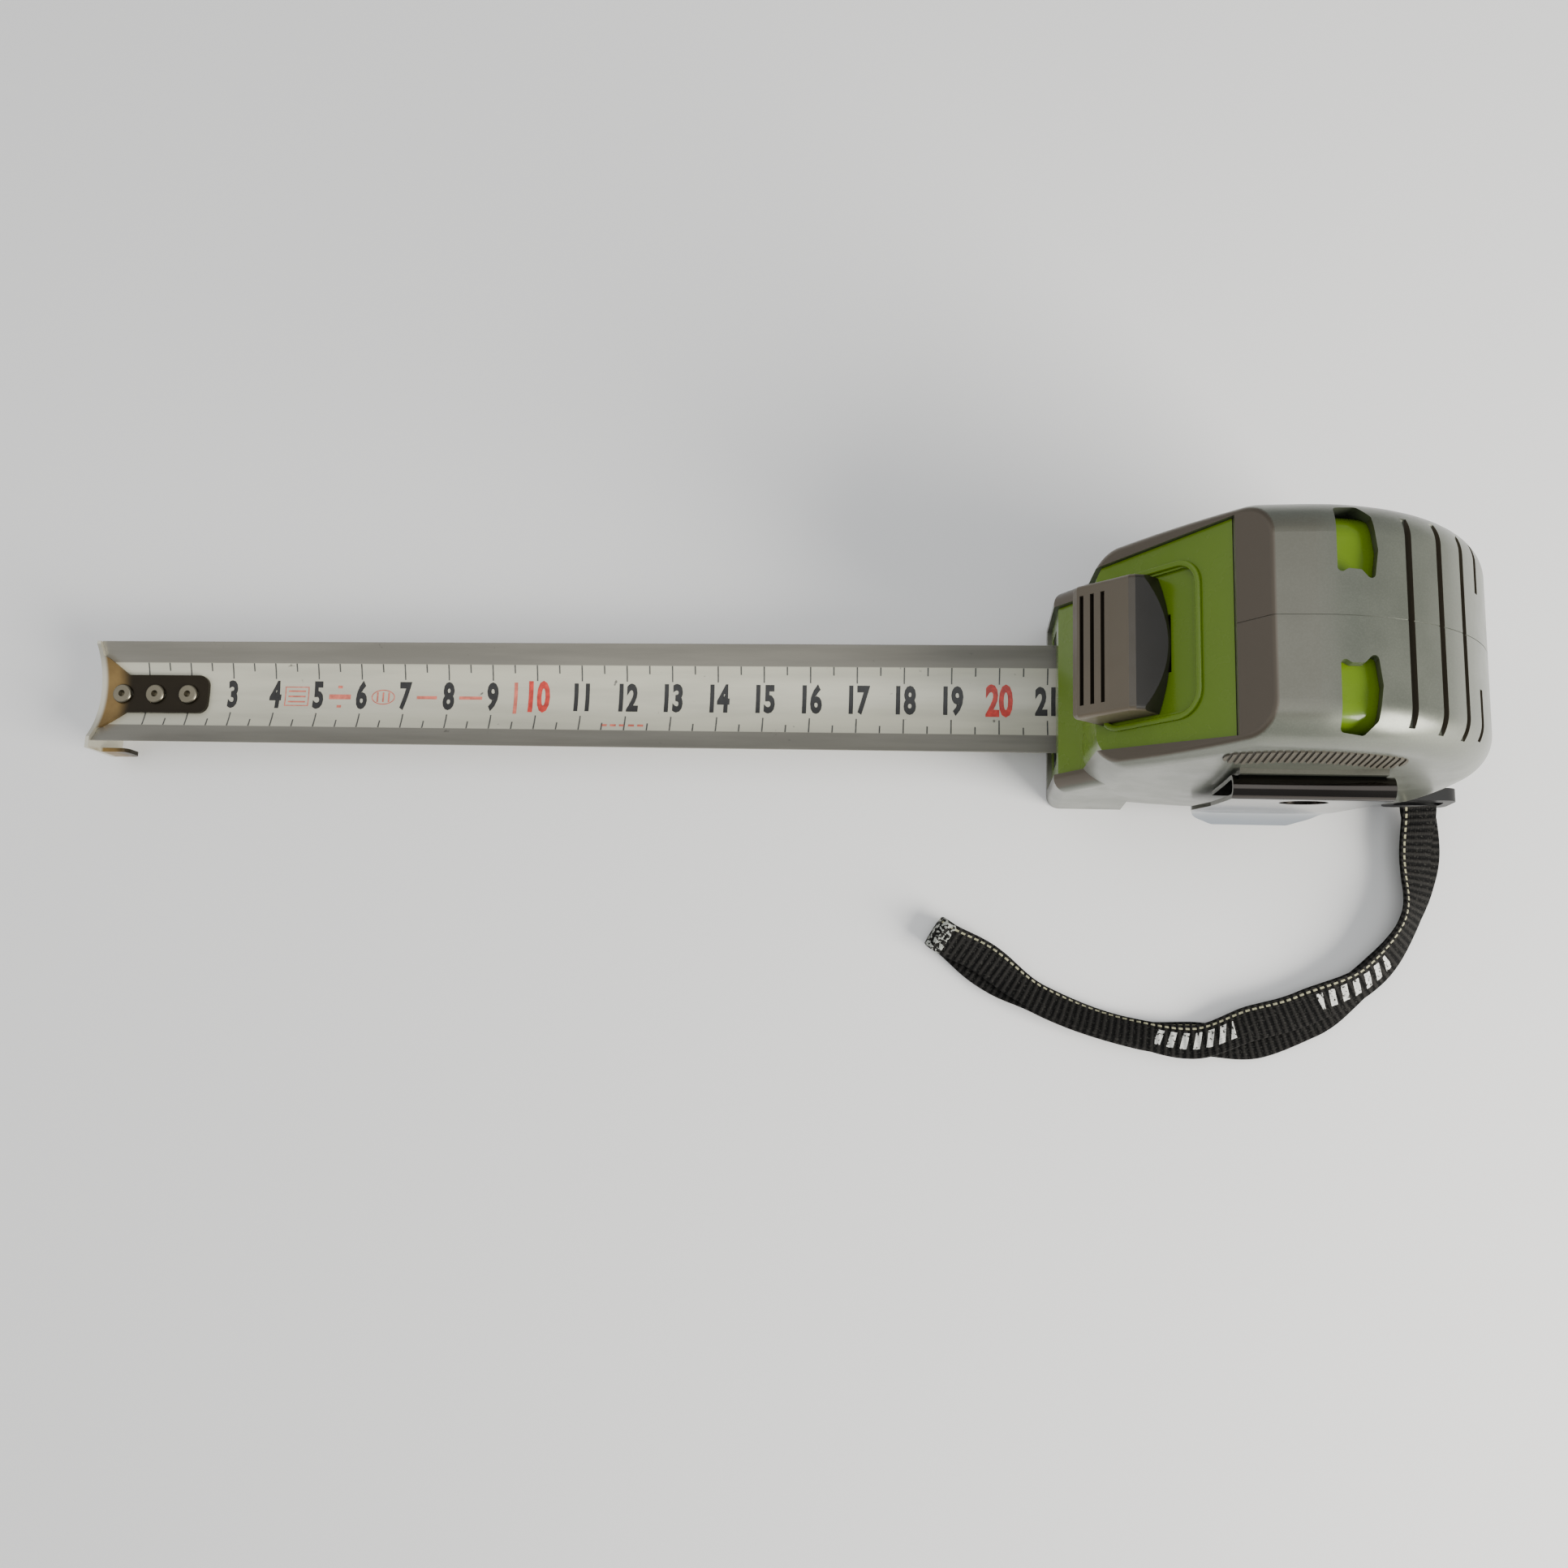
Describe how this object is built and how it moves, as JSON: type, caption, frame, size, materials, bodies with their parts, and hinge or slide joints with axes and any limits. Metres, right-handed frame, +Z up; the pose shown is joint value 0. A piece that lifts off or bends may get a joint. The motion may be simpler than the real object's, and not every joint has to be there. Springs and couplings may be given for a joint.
{
  "type": "tape measure",
  "caption": "Pocket tape measure with a spring-wound cupped steel blade drawn out of its case, a sliding end hook, a thumb lock, a belt clip and a webbing wrist strap.",
  "frame": {"origin": "on the flat base of the case, 7 mm in front of the point below the reel's axis, in the middle of the width", "axes": "+Z up, the blade leaves the case towards -X, -Y is the side with the belt clip"},
  "size_m": [0.2923, 0.0943, 0.072],
  "materials": {
    "cover_silver": "satin metallic lacquer over moulded plastic",
    "core_green": "glossy lime green moulding",
    "grip_rubber": "ribbed soft rubber",
    "fastener_steel": "plated",
    "post_plastic": "natural acetal",
    "clip_chrome": "polished",
    "badge_plastic": "satin",
    "inner_plastic": "as moulded",
    "bumper_rubber": "matt",
    "black_plastic": "as moulded",
    "strap_webbing": "woven",
    "blade_enamel": "printed enamel on spring steel",
    "spring_steel": "blued",
    "rivet_steel": "rolled",
    "hook_steel": "bronzed",
    "lock_taupe": "satin"
  },
  "bodies": {
    "case": {"left_cover": "cover_silver", "right_cover": "cover_silver", "left_core": "core_green", "right_core": "core_green", "left_grip": "grip_rubber", "right_grip": "grip_rubber", "case_screws": "fastener_steel", "centre_post": "post_plastic", "post_screw": "fastener_steel", "belt_clip": "clip_chrome", "clip_screw": "fastener_steel", "clip_nut": "fastener_steel", "side_badge": "badge_plastic", "blade_guide": "inner_plastic", "mouth_bumper": "bumper_rubber", "lanyard_lug": "black_plastic", "wrist_strap": "strap_webbing"},
    "reel": {"drum": "inner_plastic", "drum_cap": "inner_plastic", "blade_coil": "blade_enamel", "power_spring": "spring_steel", "tail_link": "spring_steel"},
    "blade": {"blade": "blade_enamel", "hook_rivets": "rivet_steel"},
    "hook": {"end_hook": "hook_steel"},
    "lock": {"lock_button": "lock_taupe", "lock_tongue": "inner_plastic", "brake_pad": "bumper_rubber"}
  },
  "joints": [
    {"name": "blade_slide", "type": "slide", "parent": "case", "child": "blade", "axis": [-1, 0, 0], "range_m": [-0.03, 0.03]},
    {"name": "reel_spin", "type": "hinge", "parent": "case", "child": "reel", "pos_m": [0.007, 0, 0.036], "axis": [0, 1, 0], "range_deg": [-84, 84]},
    {"name": "hook_play", "type": "slide", "parent": "blade", "child": "hook", "axis": [-1, 0, 0], "range_m": [0, 0.001]},
    {"name": "lock_slide", "type": "slide", "parent": "case", "child": "lock", "axis": [0.682, 0, 0.7314], "range_m": [0, 0.005]}
  ],
  "couplings": [
    {"joint": "reel_spin", "follows": "blade_slide", "rad_per_m": 47.62}
  ]
}
